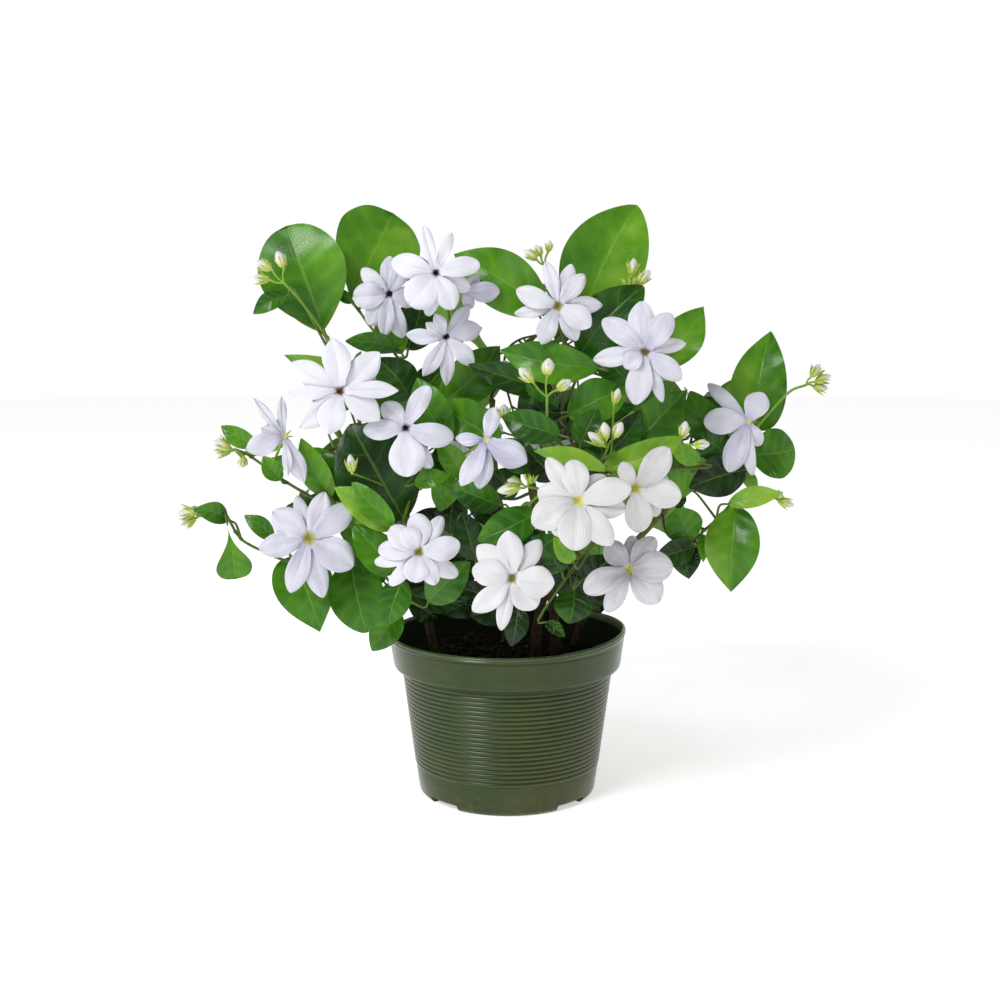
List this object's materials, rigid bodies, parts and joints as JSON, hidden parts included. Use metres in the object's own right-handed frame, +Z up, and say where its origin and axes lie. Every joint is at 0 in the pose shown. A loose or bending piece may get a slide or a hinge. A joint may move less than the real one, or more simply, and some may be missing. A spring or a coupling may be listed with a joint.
{
  "type": "potted arabian jasmine",
  "caption": "Bushy flowering jasmine with oval green leaves, white many-petalled blossoms and buds, growing in a squat ribbed green plastic nursery pot.",
  "frame": {"origin": "centre of the pot's round underside, on the surface that it stands on", "axes": "+Z up through the pot's axis; -Y towards the side from which the picture was taken; +X to the right in that view"},
  "size_m": [0.3804, 0.334, 0.3685],
  "materials": {
    "pot": "satin olive-green moulded plastic with fine horizontal ribs",
    "potting_mix": "near-black crumbly peat and bark mix with a few tan chips",
    "bark": "thin tan-brown bark, matt, slightly streaked",
    "leaf": "glossy mid-green leaf with paler midrib and veins",
    "petal": "soft white petal with fine lengthwise veins and a yellow-green throat",
    "bud": "cream bud with thin yellow-green calyx lobes"
  },
  "bodies": {
    "root": {"buds_centre": "bud", "buds_far_left": "bud", "buds_far_right": "bud", "buds_low_centre": "bud", "buds_low_left": "bud", "buds_low_right": "bud", "buds_mid_right": "bud", "buds_right": "bud", "buds_top": "bud", "buds_top_right": "bud", "buds_upper_left": "bud", "cane_back": "bark", "cane_centre": "bark", "cane_front": "bark", "cane_left": "bark", "cane_right": "bark", "flower_01": "petal", "flower_02": "petal", "flower_03": "petal", "flower_04": "petal", "flower_05": "petal", "flower_06": "petal", "flower_07": "petal", "flower_08": "petal", "flower_09": "petal", "flower_10": "petal", "flower_11": "petal", "flower_12": "petal", "flower_13": "petal", "flower_14": "petal", "flower_15": "petal", "flower_16": "petal", "flower_17": "petal", "flowers_back": "petal", "flowers_left_side": "petal", "flowers_right_side": "petal", "pot": "pot", "potting_mix": "potting_mix", "shoot_back": "leaf", "shoot_back_left": "leaf", "shoot_back_right": "leaf", "shoot_bottom_centre": "leaf", "shoot_bottom_left": "leaf", "shoot_bottom_right": "leaf", "shoot_centre": "leaf", "shoot_centre_left": "leaf", "shoot_far_left": "leaf", "shoot_left_centre": "leaf", "shoot_left_side": "leaf", "shoot_low_left": "leaf", "shoot_lower_right": "leaf", "shoot_mid_right": "leaf", "shoot_right": "leaf", "shoot_right_side": "leaf", "shoot_top": "leaf", "shoot_top_back": "leaf", "shoot_top_left": "leaf", "shoot_top_mid": "leaf", "shoot_top_right": "leaf", "shoot_upper_left": "leaf"}
  },
  "joints": []
}
